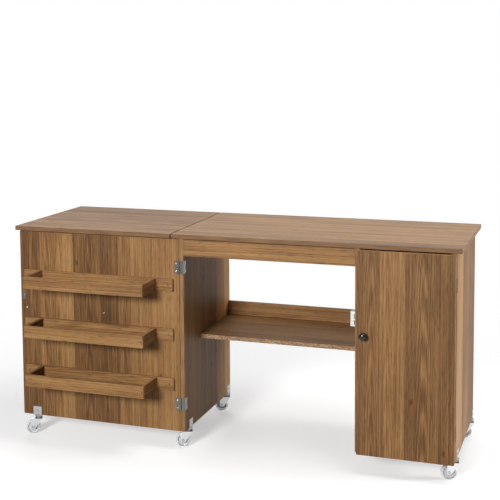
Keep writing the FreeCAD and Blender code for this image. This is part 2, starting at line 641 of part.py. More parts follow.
def report_axis(name, at, way):
    place = at - ORIGIN
    print("axis %s: at %.4f %.4f %.4f along %.5f %.5f %.5f" % (name, *place, *way))


def write_parts():
    os.makedirs("parts", exist_ok=True)
    for name, shapes in nodes.items():
        finished = []
        for shape in shapes:
            for tool in cutters.get(name, []):
                shape = shape.cut(tool)
            solid = shape.Solids[0]
            if len(shape.Solids) != 1 or not solid.isValid():
                raise ValueError("not one valid solid: " + name)
            solid.translate(ORIGIN * -1)
            finished.append(solid)
        whole = finished[0] if len(finished) == 1 else Part.makeCompound(finished)
        whole.exportStep("parts/" + name + ".step")
        print("%-28s %d solids, %.1f cm3" % (name, len(finished), whole.Volume / 1000))


make_carcass()
make_cabinet_shelves()
make_fittings()
make_hinges()
make_panels()
make_stops()
make_racks()
make_knobs()
make_catches()
report_axis("wide_door_swing", WIDE_PIN, UP)
report_axis("narrow_door_swing", NARROW_PIN, UP)
report_axis("side_leaf_fold", LEAF_PIN, FRONT)
make_casters()
write_parts()
print("%d nodes" % len(nodes))
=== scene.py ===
# %% [markdown]
# # A folding sewing desk, dressed for the camera
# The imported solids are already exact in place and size: boards, hinges, racks, knobs and casters.
# This lesson adds what a solid can't say: the oak print on the boards, the thin edging round them, raw
# chipboard where an edge is left bare, screws, cam covers and the two materials of each wheel.
# Everything is in metres, in the frame of the solids, so a new piece goes where the solids say.

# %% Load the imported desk
import json
import math

import bmesh
import bpy
from mathutils import Matrix, Vector

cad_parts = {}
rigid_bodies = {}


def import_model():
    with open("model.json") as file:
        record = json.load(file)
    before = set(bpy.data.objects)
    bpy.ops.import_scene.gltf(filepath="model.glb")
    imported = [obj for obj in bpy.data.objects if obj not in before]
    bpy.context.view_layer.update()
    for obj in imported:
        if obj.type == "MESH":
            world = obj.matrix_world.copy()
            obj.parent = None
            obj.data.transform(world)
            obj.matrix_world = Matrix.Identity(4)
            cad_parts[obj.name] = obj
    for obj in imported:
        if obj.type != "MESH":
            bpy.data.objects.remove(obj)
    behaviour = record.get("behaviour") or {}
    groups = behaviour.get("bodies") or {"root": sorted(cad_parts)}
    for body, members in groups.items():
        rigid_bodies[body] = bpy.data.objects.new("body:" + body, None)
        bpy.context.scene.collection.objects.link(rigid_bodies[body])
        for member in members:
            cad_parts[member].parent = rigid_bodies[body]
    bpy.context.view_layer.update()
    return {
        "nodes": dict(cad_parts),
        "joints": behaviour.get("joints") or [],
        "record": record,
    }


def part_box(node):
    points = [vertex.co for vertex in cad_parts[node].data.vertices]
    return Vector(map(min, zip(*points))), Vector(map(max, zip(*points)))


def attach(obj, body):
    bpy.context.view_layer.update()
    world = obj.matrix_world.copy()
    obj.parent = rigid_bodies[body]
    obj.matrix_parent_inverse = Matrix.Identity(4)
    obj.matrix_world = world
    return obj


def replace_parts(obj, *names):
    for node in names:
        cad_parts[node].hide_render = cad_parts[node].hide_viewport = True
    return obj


for leftover in list(bpy.data.objects):
    bpy.data.objects.remove(leftover)
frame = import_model()
solids = frame["nodes"]
body_of = {name: body for body, names in frame["record"]["behaviour"]["bodies"].items() for name in names}
joint_at = {joint["name"]: Vector(joint["pos_m"]) for joint in frame["joints"]}
joint_axis = {joint["name"]: Vector(joint["axis"]) for joint in frame["joints"]}
MM = 0.001

# %% [markdown]
# ## Camera
# The photograph looks down on the desk from the right, and its upright lines stay nearly upright. A camera
# that is simply tilted down would make them lean together. So this one is almost level, and its lens is
# shifted down by a fifth of the picture, which puts the picture's middle below the line of sight. Place,
# turn and lens come from lining up the desk's corners.

# %% Camera
CAMERA_AT = Vector((1.208, -3.577, 1.379))
CAMERA_TURN = 19.820
CAMERA_DIP = 5.209
CAMERA_ROLL = -0.487
CAMERA_LENS = 78.09
CAMERA_SHIFT = (0.0626, -0.2)

camera = bpy.data.objects.new("camera", bpy.data.cameras.new("camera"))
bpy.context.scene.collection.objects.link(camera)
camera.location = CAMERA_AT
turn = Matrix.Rotation(math.radians(CAMERA_TURN), 3, "Z")
dip = Matrix.Rotation(math.radians(90 - CAMERA_DIP), 3, "X")
roll = Matrix.Rotation(math.radians(CAMERA_ROLL), 3, "Z")
camera.rotation_euler = (turn @ dip @ roll).to_euler()
camera.data.lens = CAMERA_LENS
camera.data.shift_x, camera.data.shift_y = CAMERA_SHIFT
bpy.context.scene.camera = camera
bpy.context.scene.view_settings.view_transform = "Standard"
print("camera at", tuple(round(c, 3) for c in CAMERA_AT))

# %% [markdown]
# ## Nodes in a few words
# Each finish is a small network of shader nodes. They could be wired by hand in the shader editor, but a few
# helpers keep a network as short as a formula. One adds a node, sets its options and fills its sockets: a
# socket of another node is wired in, and anything else becomes the socket's own value. The others give one
# sum, one noise, one colour ramp or two colours multiplied. A Mix node has sockets for numbers, vectors and
# colours under the same names, so those for colours are picked by their numbers.

# %% Node helpers
def node(tree, kind, sockets=None, **options):
    """One node with its options set and its sockets wired or filled."""
    made = tree.nodes.new("ShaderNode" + kind)
    for option, value in options.items():
        setattr(made, option, value)
    for key, value in (sockets or {}).items():
        if isinstance(value, bpy.types.NodeSocket):
            tree.links.new(value, made.inputs[key])
        else:
            made.inputs[key].default_value = value
    return made


def maths(tree, operation, *values):
    """One Math node, and its result."""
    return node(tree, "Math", dict(enumerate(values)), operation=operation).outputs[0]


def varied(tree, pattern, start, spread):
    """A start value that a pattern raises by up to a spread."""
    return maths(tree, "MULTIPLY_ADD", pattern, spread, start)


def noise(tree, vector, settings):
    """One noise pattern at a place, and its value."""
    return node(tree, "TexNoise", {"Vector": vector, **settings}).outputs[0]


def ramp(tree, factor, stops):
    """A colour ramp through (position, colour) stops, and its colour."""
    made = node(tree, "ValToRGB", {"Fac": factor})
    elements = made.color_ramp.elements
    for _ in range(len(stops) - len(elements)):
        elements.new(1.0)
    for element, (position, colour) in zip(elements, stops):
        element.position = position
        element.color = (*colour, 1.0)
    return made.outputs["Color"]


MIX_AMOUNT, MIX_FIRST, MIX_SECOND, MIX_RESULT = 0, 6, 7, 2


def multiply(tree, first, second):
    """Two colours multiplied, as with one ink printed over another."""
    made = node(tree, "Mix", {MIX_AMOUNT: 1.0, MIX_FIRST: first, MIX_SECOND: second}, data_type="RGBA",
                blend_type="MULTIPLY")
    return made.outputs[MIX_RESULT]


print("node helpers ready")

# %% [markdown]
# ## Starting and ending a finish
# What is the same all over a surface is set once, on the shader's own sockets. What varies is a pattern that
# is wired to colour, roughness and a fine relief. So one helper starts a finish and another one ends it.

# %% Finish helpers
def finish(name, **constants):
    """A new material, its node tree and its shader, with the constant values already set."""
    material = bpy.data.materials.new(name)
    material.use_nodes = True
    shader = material.node_tree.nodes["Principled BSDF"]
    for socket, value in constants.items():
        shader.inputs[socket.replace("_", " ")].default_value = value
    return material, material.node_tree, shader


def wire(tree, shader, colour=None, roughness=None, height=None, depth=0.0, strength=0.0):
    """Join colour, roughness and a bump height to a shader."""
    if colour is not None:
        tree.links.new(colour, shader.inputs["Base Color"])
    if roughness is not None:
        tree.links.new(roughness, shader.inputs["Roughness"])
    if height is not None:
        bump = node(tree, "Bump", {"Height": height, "Distance": depth, "Strength": strength})
        tree.links.new(bump.outputs["Normal"], shader.inputs["Normal"])


print("finish helpers ready")

# %% [markdown]
# ## Oak print
# The boards wear a printed oak foil: staves of uneven width lie side by side, each with its own tone, and
# the grain runs along them. A one-dimensional Voronoi pattern across the board gives the staves, because
# its cells have random widths and a random colour each. Noise that is drawn out along the run makes streaks,
# finer lines and a hair-thin grain, and shorter ticks are the open pores. On some staves, a parabola of the
# distance from the stave's middle bends rings into the arches of flat-sawn oak.
# A picture of oak could be laid on the boards instead, but nodes give every board a print of its own, and it
# stays sharp close up. The grain may run along X, as on the tops, or along Z, as on the doors, so the axes
# are choices.

# %% Oak print values
STAVES = 13.0
STAVE_UNEVEN = 0.95
STAVE_SHIFT = 9.0
GRAIN_STRETCH = 0.008
PORE_STRETCH = 0.06
CLOUD_STRETCH = 0.3
STREAKS = {"Scale": 60.0, "Detail": 1.0, "Roughness": 0.5, "Distortion": 0.1}
LINES = {"Scale": 270.0, "Detail": 3.0, "Roughness": 0.6, "Distortion": 0.1}
GRAIN = {"Scale": 520.0, "Detail": 4.0, "Roughness": 0.65}
CLOUDS = {"Scale": 9.0, "Detail": 2.0}
PORES = {"Scale": 480.0, "Detail": 1.0}
STREAK_TONE, LINE_TONE, GRAIN_TONE, CLOUD_TONE = 0.36, 0.74, 0.60, 0.46
MIDDLE_TONE, STAVE_TONE = 0.53, 0.42
ARCH_BEND, ARCH_RINGS, ARCH_WAVER, ARCH_TONE = 26.0, 7.0, 2.0, 0.17
OAK_DARK = (0.112, 0.049, 0.0155)
OAK_BROWN = (0.211, 0.101, 0.0345)
OAK_TAN = (0.308, 0.158, 0.056)
OAK_LIGHT = (0.432, 0.242, 0.095)
OAK = ((0.22, OAK_DARK), (0.44, OAK_BROWN), (0.60, OAK_TAN), (0.85, OAK_LIGHT))
NO_INK = (1.0, 1.0, 1.0)
PORE_INK = ((0.26, (0.54, 0.49, 0.46)), (0.46, NO_INK))
SEAM_INK = ((0.0, (0.62, 0.58, 0.56)), (0.02, NO_INK))
KNOT_INK = ((0.0, (0.34, 0.28, 0.24)), (0.008, (0.50, 0.44, 0.40)), (0.028, NO_INK))
KNOTS = 4.0
KNOT_LONG = 0.5
GRAIN_ROUGH = 0.22
GRAIN_BUMP = (0.0004, 0.25)
SATIN = (0.44, 0.25)
GLOSSY = (0.36, 0.42)
print("oak print: about %d staves to the metre" % STAVES)


# %% Oak print
def drawn_out(tree, side, layer, run, stretch):
    """A place for noise that is drawn out along the run, with a layer of its own for each stave."""
    return node(tree, "CombineXYZ", {0: side, 1: layer, 2: maths(tree, "MULTIPLY", run, stretch)}).outputs[0]


def blended(tree, start, parts):
    """A start value with each (pattern, amount) added, where a pattern's middle of 0.5 adds nothing."""
    total = start - sum(amount for _, amount in parts) / 2
    for pattern, amount in parts:
        total = maths(tree, "MULTIPLY_ADD", pattern, amount, total)
    return total


def arches(tree, middle, run, waver):
    """Rings bent by the square of the distance from a stave's middle, from -1 to 1."""
    bent = maths(tree, "MULTIPLY", maths(tree, "MULTIPLY", middle, middle), ARCH_BEND)
    bent = maths(tree, "MULTIPLY_ADD", run, ARCH_RINGS, bent)
    bent = maths(tree, "MULTIPLY_ADD", waver, ARCH_WAVER, bent)
    return maths(tree, "SINE", maths(tree, "MULTIPLY", bent, math.tau))


def knots(tree, side, run, seed):
    """A few small dark knots, longer along the run than across it."""
    shifted = maths(tree, "ADD", side, seed)
    squeezed = maths(tree, "MULTIPLY", run, KNOT_LONG)
    at = node(tree, "CombineXYZ", {0: shifted, 1: squeezed}).outputs[0]
    spots = node(tree, "TexVoronoi", {"Vector": at, "Scale": KNOTS}, voronoi_dimensions="2D")
    return ramp(tree, spots.outputs["Distance"], KNOT_INK)


def oak_print(name, along, across, seed, tone=MIDDLE_TONE, stave_tone=STAVE_TONE, figure=1.0, sheen=SATIN):
    """Oak foil whose grain runs along one axis and whose staves lie side by side along another."""
    rough, shine = sheen
    material, tree, shader = finish(name, Specular_IOR_Level=shine)
    place = node(tree, "SeparateXYZ", {0: node(tree, "TexCoord").outputs["Object"]})
    run, side = place.outputs[along], place.outputs[across]
    stave_at = maths(tree, "MULTIPLY_ADD", side, STAVES, seed)
    cells = {"W": stave_at, "Scale": 1.0, "Randomness": STAVE_UNEVEN}
    staves = node(tree, "TexVoronoi", cells, voronoi_dimensions="1D")
    seams = node(tree, "TexVoronoi", cells, voronoi_dimensions="1D", feature="DISTANCE_TO_EDGE")
    chance = node(tree, "SeparateColor", {0: staves.outputs["Color"]}).outputs
    shifted = maths(tree, "MULTIPLY_ADD", chance[0], STAVE_SHIFT, run)
    layer = maths(tree, "MULTIPLY", chance[1], STAVE_SHIFT)
    grain_at = drawn_out(tree, side, layer, shifted, GRAIN_STRETCH)
    streaks, lines, grain = [noise(tree, grain_at, settings) for settings in (STREAKS, LINES, GRAIN)]
    clouds = noise(tree, drawn_out(tree, side, layer, shifted, CLOUD_STRETCH), CLOUDS)
    pores = noise(tree, drawn_out(tree, side, layer, shifted, PORE_STRETCH), PORES)
    tone = blended(tree, tone, ((chance[2], stave_tone), (streaks, STREAK_TONE * figure),
                                (lines, LINE_TONE * figure), (grain, GRAIN_TONE * figure),
                                (clouds, CLOUD_TONE)))
    middle = maths(tree, "SUBTRACT", stave_at, staves.outputs["W"])
    arched = maths(tree, "MULTIPLY", maths(tree, "MULTIPLY", chance[1], chance[1]), ARCH_TONE)
    tone = maths(tree, "MULTIPLY_ADD", arches(tree, middle, shifted, streaks), arched, tone)
    fine_ink = multiply(tree, ramp(tree, pores, PORE_INK), ramp(tree, seams.outputs["Distance"], SEAM_INK))
    inked = multiply(tree, multiply(tree, ramp(tree, tone, OAK), knots(tree, side, run, seed)), fine_ink)
    wire(tree, shader, inked, varied(tree, grain, rough, GRAIN_ROUGH), grain, *GRAIN_BUMP)
    return material


print("oak print ready")

# %% [markdown]
# ## Edging, chipboard and hardboard
# The cut edges of a foil board are covered with a thin strip of plain printed edging with a faint grain. The
# two tops have a darker strip than the rest. Where an edge is left bare, the chipboard shows: pale and dark
# chips pressed together, which small Voronoi cells give. The cabinet's thin back and the racks' bottoms are
# hardboard, a felt of fibres. Plain colours would do from afar, but close up the patterns tell them apart.

# %% Edging
EDGE_TONES = ((0.30, (0.190, 0.094, 0.036)), (0.72, (0.370, 0.205, 0.090)))
TOP_EDGE_TONES = ((0.30, (0.135, 0.068, 0.030)), (0.72, (0.270, 0.150, 0.072)))
EDGE_GRAIN = {"Scale": 240.0, "Detail": 4.0}
EDGE_STRETCH = 0.05
EDGE_SHINE = 0.25
EDGE_ROUGH = (0.44, 0.2)
EDGE_BUMP = (0.0002, 0.2)


def edging(name, along, tones):
    """Plain edging strip with a faint grain along one axis."""
    material, tree, shader = finish(name, Specular_IOR_Level=EDGE_SHINE)
    place = node(tree, "TexCoord").outputs["Object"]
    squeeze = [EDGE_STRETCH if axis == along else 1.0 for axis in range(3)]
    drawn = node(tree, "Mapping", {"Vector": place, "Scale": squeeze}).outputs[0]
    grain = noise(tree, drawn, EDGE_GRAIN)
    wire(tree, shader, ramp(tree, grain, tones), varied(tree, grain, *EDGE_ROUGH), grain, *EDGE_BUMP)
    return material


BANDS = [edging("edging_" + letter, axis, EDGE_TONES) for axis, letter in enumerate("xyz")]
TOP_BANDS = [edging("top_edging_" + letter, axis, TOP_EDGE_TONES) for axis, letter in enumerate("xyz")]
print("edging for", len(BANDS), "directions, and as many for the tops")

# %% Chipboard and hardboard
CHIP_TONES = ((0.0, (0.110, 0.058, 0.028)), (0.22, (0.280, 0.160, 0.078)),
              (0.80, (0.420, 0.255, 0.135)), (1.0, (0.680, 0.500, 0.330)))
CHIP_SCALE = 620.0
CHIP_FLAT = (0.4, 1.0, 1.0)
CHIP_ROUGH = 0.85
CHIP_BUMP = (0.0006, 0.5)
FELT = {"Scale": 420.0, "Detail": 6.0, "Roughness": 0.7, "Distortion": 1.5}
FELT_TONES = ((0.32, (0.150, 0.084, 0.042)), (0.68, (0.285, 0.172, 0.094)))
FELT_SHINE = 0.3
FELT_ROUGH = (0.5, 0.2)
FELT_BUMP = (0.0003, 0.3)


def chipboard(name):
    """Bare chipboard edge: pressed chips of many tones."""
    material, tree, shader = finish(name, Roughness=CHIP_ROUGH)
    place = node(tree, "TexCoord").outputs["Object"]
    flat = node(tree, "Mapping", {"Vector": place, "Scale": CHIP_FLAT}).outputs[0]
    chips = node(tree, "TexVoronoi", {"Vector": flat, "Scale": CHIP_SCALE})
    tone = node(tree, "SeparateColor", {0: chips.outputs["Color"]}).outputs[0]
    wire(tree, shader, ramp(tree, tone, CHIP_TONES), None, chips.outputs["Distance"], *CHIP_BUMP)
    return material


def hardboard(name):
    """Smooth brown hardboard with a felt of short fibres."""
    material, tree, shader = finish(name, Specular_IOR_Level=FELT_SHINE)
    felt = noise(tree, node(tree, "TexCoord").outputs["Object"], FELT)
    wire(tree, shader, ramp(tree, felt, FELT_TONES), varied(tree, felt, *FELT_ROUGH), felt, *FELT_BUMP)
    return material


FIBRE = hardboard("hardboard")
CHIPS = chipboard("bare_chipboard")
print("chipboard and hardboard ready")

# %% [markdown]
# ## Boards
# Every board could stay the plain solid, but a real one has softly rounded edges, and its faces and edges
# are two different materials. So each board is a cube, scaled to the solid's own box and bevelled by less
# than a millimetre. Faces across the thickness get the oak print, the rest get edging, and an edge that is
# named bare shows chipboard.

# %% Shaping helpers
EDGE_ROUND = 0.8 * MM
EDGE_STEPS = 2


def block(low, high):
    """A box from its lowest to its highest corner."""
    bm = bmesh.new()
    bmesh.ops.create_cube(bm, size=1.0)
    bmesh.ops.scale(bm, vec=high - low, verts=bm.verts)
    bmesh.ops.translate(bm, vec=(low + high) / 2, verts=bm.verts)
    return bm


def soften(bm, edges=None, width=EDGE_ROUND, segments=EDGE_STEPS):
    """Round the given edges, or else all of them."""
    chosen = bm.edges[:] if edges is None else edges
    bmesh.ops.bevel(bm, geom=chosen, offset=width, offset_type="OFFSET", affect="EDGES", segments=segments,
                    profile=0.5, material=-1)


def piece(name, bm, materials, body, smooth=None):
    """Turn a finished bmesh into an object that rides on a body."""
    mesh = bpy.data.meshes.new(name)
    bm.to_mesh(mesh)
    bm.free()
    for material in materials:
        mesh.materials.append(material)
    if smooth is not None:
        mesh.shade_smooth()
        mesh.set_sharp_from_angle(angle=math.radians(smooth))
    made = bpy.data.objects.new(name, mesh)
    bpy.context.scene.collection.objects.link(made)
    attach(made, body)
    return made


print("edges are rounded by %.1f mm" % (EDGE_ROUND / MM))

# %% [markdown]
# ## Foil on a board
# A solid's box is a pair of corners, the low one and the high one. The thinnest side of a board's box is
# its thickness, so the faces that look that way are the foil's, and no face has to be picked by hand. Each
# board's print starts at a place of its own, and the boards that show most are shifted further, to where
# their staves look right.

# %% Board helpers
X, Y, Z = range(3)
LEFT, RIGHT = Vector((-1, 0, 0)), Vector((1, 0, 0))
FRONT, BACK = Vector((0, -1, 0)), Vector((0, 1, 0))
DOWN, UP = Vector((0, 0, -1)), Vector((0, 0, 1))
LOW, HIGH = range(2)
SAME_WAY = 0.9
ON_FOIL, ON_EDGE, ON_BARE = range(3)
SEED_STEP = 3.7
PRINT_SHIFT = {"main_top_board": 15.07, "side_leaf_panel_board": 20.55, "wide_door_board": 12.33,
               "narrow_door_panel_board": 19.18, "cabinet_outer_side_board": 6.85,
               "front_apron_board": 13.70}
boards_made = []


def dress(name, bm, grain, body, bare=None, bands=BANDS, **looks):
    """Give a board's mesh its foil, edging and bare edge, and make it a piece."""
    low = Vector([min(vert.co[axis] for vert in bm.verts) for axis in range(3)])
    high = Vector([max(vert.co[axis] for vert in bm.verts) for axis in range(3)])
    size = high - low
    thin = min(range(3), key=lambda axis: size[axis])
    across = next(axis for axis in range(3) if axis not in (thin, grain))
    for face in bm.faces:
        if abs(face.normal[thin]) > SAME_WAY:
            face.material_index = ON_FOIL
        elif bare is not None and face.normal.dot(bare) > SAME_WAY:
            face.material_index = ON_BARE
        else:
            face.material_index = ON_EDGE
    seed = SEED_STEP * (len(boards_made) + 1) + PRINT_SHIFT.get(name, 0.0)
    foil = oak_print(name + "_oak", grain, across, seed, **looks)
    boards_made.append(name)
    longest = max((axis for axis in range(3) if axis != thin), key=lambda axis: size[axis])
    return piece(name, bm, [foil, bands[longest], CHIPS], body)


def board(solid, grain, **looks):
    """A dressed board in place of one plain solid."""
    bm = block(*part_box(solid))
    soften(bm)
    made = dress(solid + "_board", bm, grain, body_of[solid], **looks)
    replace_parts(made, solid)
    return made


print("board helpers ready")

# %% [markdown]
# ## Tops, sides, shelf and narrow door
# On the tops, apron, shelf and rails the grain runs along the desk; on the upright panels and doors it runs
# up and down. The shelf in the knee hole has a bare front edge. The tops are glossier, with a bolder grain
# and a darker edging. One material could serve them all, but its staves would run on from one board to the
# next. So each board has a print of its own, and its own value where its staves are nearly alike or differ
# a lot.

# %% Tops, sides, shelf and narrow door
MAIN_TONE, LEAF_TONE = 0.57, 0.50
TOP_LOOKS = {"figure": 2.5, "sheen": GLOSSY, "bands": TOP_BANDS}
STAVES_ALIKE, STAVES_CLOSE, STAVES_APART = 0.2, 0.32, 0.5
board("main_top", X, tone=MAIN_TONE, **TOP_LOOKS)
board("side_leaf_panel", X, tone=LEAF_TONE, **TOP_LOOKS)
board("cabinet_bottom", X)
board("kneehole_back_rail", X, stave_tone=STAVES_ALIKE)
board("kneehole_shelf", X, bare=FRONT)
for solid in ("left_upright", "cabinet_inner_side"):
    board(solid, Z)
board("narrow_door_panel", Z, stave_tone=STAVES_CLOSE)
board("cabinet_outer_side", Z, stave_tone=STAVES_APART)
print(len(boards_made), "boards so far")

# %% [markdown]
# ## Apron
# The apron hangs under the main top. Its front stops three millimetres short of the top, as the doors do, so
# that one even shadow runs under the whole front. Two blocks could be stacked for that, but one profile has
# no joint: a few points in the YZ plane become a face, and the face is drawn out along the desk.

# %% Apron
GAP_HIGH = 3.0 * MM
GAP_DEEP = 8.0 * MM
APRON_TONE = 0.49
low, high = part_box("front_apron")
profile = ((low.y, low.z), (high.y, low.z), (high.y, high.z), (low.y + GAP_DEEP, high.z),
           (low.y + GAP_DEEP, high.z - GAP_HIGH), (low.y, high.z - GAP_HIGH))
bm = bmesh.new()
face = bm.faces.new([bm.verts.new((low.x, y, z)) for y, z in profile])
drawn = bmesh.ops.extrude_face_region(bm, geom=[face])["geom"]
far_end = [item for item in drawn if isinstance(item, bmesh.types.BMVert)]
bmesh.ops.translate(bm, vec=(high.x - low.x, 0, 0), verts=far_end)
bmesh.ops.recalc_face_normals(bm, faces=bm.faces)
soften(bm)
apron = dress("front_apron_board", bm, X, "carcass", tone=APRON_TONE, stave_tone=STAVES_ALIKE)
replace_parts(apron, "front_apron")
print("apron with a gap of %.0f mm over its front" % (GAP_HIGH / MM))

# %% [markdown]
# ## Stop strips
# The open door rests at a strip under the leaf, and a short one under the main top carries on from it. As
# plain solids they would let light show past the door, so they are drawn out a little, and a small block
# stands behind the slit between them. It keeps clear of the strip under the main top when the leaf hangs.

# %% Stop strips
STOP_REACH = 12.0 * MM
SEAM_REACH = 2.0 * MM
TOP_REACH = 5.5 * MM
SEAM_BLOCK = Vector((28.0, 11.0, 10.0)) * MM
SEAM_OVER = 7.5 * MM
BEHIND = 1.0 * MM


def strip(name, low, high, body):
    """A small softened strip of board."""
    bm = block(low, high)
    soften(bm)
    return dress(name, bm, X, body)


low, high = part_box("leaf_stop")
leaf_stop = strip("leaf_stop_board", low + LEFT * STOP_REACH, high + RIGHT * SEAM_REACH, "side_leaf")
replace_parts(leaf_stop, "leaf_stop")
block_high = Vector((high.x + SEAM_OVER, high.y + BEHIND + SEAM_BLOCK.y, high.z))
strip("seam_block", block_high - SEAM_BLOCK, block_high, "side_leaf")
low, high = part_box("top_stop")
top_stop = strip("top_stop_board", low + LEFT * TOP_REACH, high, "carcass")
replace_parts(top_stop, "top_stop")
print(len(boards_made), "boards with the stops")

# %% [markdown]
# ## Wide door
# Its top edge slopes down to the back, so that the leaf clears it while both move. Two corners could be
# lowered, but a cut by a plane says the slope in one line; the open cut is closed before the edges are
# softened. The print is shifted so that light staves lie by the hinges.

# %% Wide door
SLOPE_DROP = 7.5 * MM
MERGE_WITHIN = 1e-6
DOOR_TONE, DOOR_STAVES = 0.51, 0.36
low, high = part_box("wide_door_panel")
bm = block(low, high)
slope = Vector((0, SLOPE_DROP, high.y - low.y)).normalized()
bmesh.ops.bisect_plane(bm, geom=bm.verts[:] + bm.edges[:] + bm.faces[:], dist=MERGE_WITHIN,
                       plane_co=(0, low.y, high.z), plane_no=slope, clear_outer=True)
bmesh.ops.holes_fill(bm, edges=[edge for edge in bm.edges if edge.is_boundary], sides=0)
bmesh.ops.recalc_face_normals(bm, faces=bm.faces)
soften(bm)
wide_door = dress("wide_door_board", bm, Z, "wide_door", tone=DOOR_TONE, stave_tone=DOOR_STAVES)
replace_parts(wide_door, "wide_door_panel")
print("wide door slopes by %.1f mm" % (SLOPE_DROP / MM))

# %% [markdown]
# ## Racks
# Each rack has a long back rail with rounded corners, a front rail and two short ends round a thin bottom.
# One bevel would round every edge alike, so the back rail's corners are rounded first, along the edges that
# run through its thickness, and the rest after. The front rail is thinned by the height of its screws'
# heads, which then stay in the solid's box. The rails are of one even tone, and the short ends are printed
# darker as painted shade, for the shadow that falls on their faces.

# %% Racks
RAIL_ROUND = 4.0 * MM
RAIL_ROUND_STEPS = 5
RAIL_SCREW = 0.8 * MM
RAIL_LOOKS = {"tone": 0.57, "stave_tone": 0.08}
# The short ends' darker tone is painted shade, not a different wood.
SHADED_END_LOOKS = {"tone": 0.34, "stave_tone": 0.08}
ENDS_THICK = 12.0 * MM
SHARP = math.radians(50)
RACKS = ("upper", "middle", "lower")


def runs_deep(edge):
    """True for an edge along Y, which is through a rail's thickness."""
    first, second = edge.verts
    return abs((first.co - second.co).normalized().y) > SAME_WAY


def back_rail(solid):
    """A rail on the door with rounded corners."""
    bm = block(*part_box(solid))
    soften(bm, [edge for edge in bm.edges if runs_deep(edge)], RAIL_ROUND, RAIL_ROUND_STEPS)
    soften(bm, [edge for edge in bm.edges if edge.calc_face_angle() > SHARP])
    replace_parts(dress(solid + "_board", bm, X, "wide_door", **RAIL_LOOKS), solid)


def front_rail(solid):
    """A plain rail, set back by its screws' heads."""
    low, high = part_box(solid)
    bm = block(low + BACK * RAIL_SCREW, high)
    soften(bm)
    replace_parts(dress(solid + "_board", bm, X, "wide_door", **RAIL_LOOKS), solid)


def rack_end(place, side, start, front_box, back_y):
    """A short end between the front rail and the back rail."""
    low = Vector((start, front_box[HIGH].y, front_box[LOW].z))
    high = Vector((start + ENDS_THICK, back_y, front_box[HIGH].z))
    bm = block(low, high)
    soften(bm)
    end = dress(place + "_rack_" + side + "_end", bm, Y, "wide_door", **SHADED_END_LOOKS)
    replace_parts(end, "rack_ends")


for place in RACKS:
    back_rail(place + "_rack_back_rail")
    front_rail(place + "_rack_front_rail")
    front_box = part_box(place + "_rack_front_rail")
    back_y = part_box(place + "_rack_back_rail")[LOW].y
    rack_end(place, "left", front_box[LOW].x, front_box, back_y)
    rack_end(place, "right", front_box[HIGH].x - ENDS_THICK, front_box, back_y)
    solids[place + "_rack_bottom"].data.materials[0] = FIBRE
print(len(boards_made), "boards now")

# %% [markdown]
# ## Inside the cabinet
# Two loose shelves lie on pins, and a thin back closes the cabinet. Both shelves are one node, whose box
# reaches from the lower one's underside to the upper one's face. Their heights could be written down here,
# but a change of the solids would leave them behind, so each takes a board's thickness from one end of that
# box. Their back edges are bare.

# %% Inside the cabinet
BOARD_THICK = 15.0 * MM
low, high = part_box("cabinet_shelves")
for place, start in (("lower", low.z), ("upper", high.z - BOARD_THICK)):
    bm = block(Vector((low.x, low.y, start)), Vector((high.x, high.y, start + BOARD_THICK)))
    soften(bm)
    made = dress(place + "_cabinet_shelf", bm, X, "carcass", bare=BACK)
    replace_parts(made, "cabinet_shelves")
solids["cabinet_back"].data.materials[0] = FIBRE
print(len(boards_made), "boards in all")

# %% [markdown]
# ## Steel, chrome and plastics
# Hinges, pins and strikes are nickel-plated steel with a brushed look. With one tint and one roughness they
# would look painted, so noise that is stretched along Z varies both. Screws are brighter, but those of the
# racks are bronzed, so that they hardly show. The casters' forks are bright chrome, and their clamps and
# axles are duller zinc. The knobs are black plastic, the catches white, the treads clear, and the dust rings
# and cam covers dark and brown.

# %% Steel and plastic
BRUSHED = {"Scale": 900.0, "Detail": 3.0}
MOTTLED = {"Scale": 350.0, "Detail": 3.0}
TINT_FROM, TINT_TO = 0.3, 0.7
EVENLY = (1.0, 1.0, 1.0)
ALONG_Z = (1.0, 1.0, 0.06)
STEEL_BUMP = (0.00005, 0.1)
PLASTIC_SPREAD = 0.12
PLASTIC_BUMP = (0.00008, 0.1)


def steel(name, tint, rough, spread, fleck, squeeze=EVENLY):
    """Metal whose roughness and tint vary a little, in brushed lines if the noise is squeezed."""
    material, tree, shader = finish(name, Metallic=1.0)
    place = node(tree, "TexCoord").outputs["Object"]
    drawn = node(tree, "Mapping", {"Vector": place, "Scale": squeeze}).outputs[0]
    lines = noise(tree, drawn, BRUSHED)
    darker = tuple(channel * fleck for channel in tint)
    colour = ramp(tree, lines, ((TINT_FROM, darker), (TINT_TO, tint)))
    wire(tree, shader, colour, varied(tree, lines, rough, spread), lines, *STEEL_BUMP)
    return material


def plastic(name, dark, light, rough, **constants):
    """Moulded plastic with a faint mottling in tone and gloss."""
    material, tree, shader = finish(name, **constants)
    mottle = noise(tree, node(tree, "TexCoord").outputs["Object"], MOTTLED)
    colour = ramp(tree, mottle, ((TINT_FROM, dark), (TINT_TO, light)))
    wire(tree, shader, colour, varied(tree, mottle, rough, PLASTIC_SPREAD), mottle, *PLASTIC_BUMP)
    return material


print("steel and plastic ready")

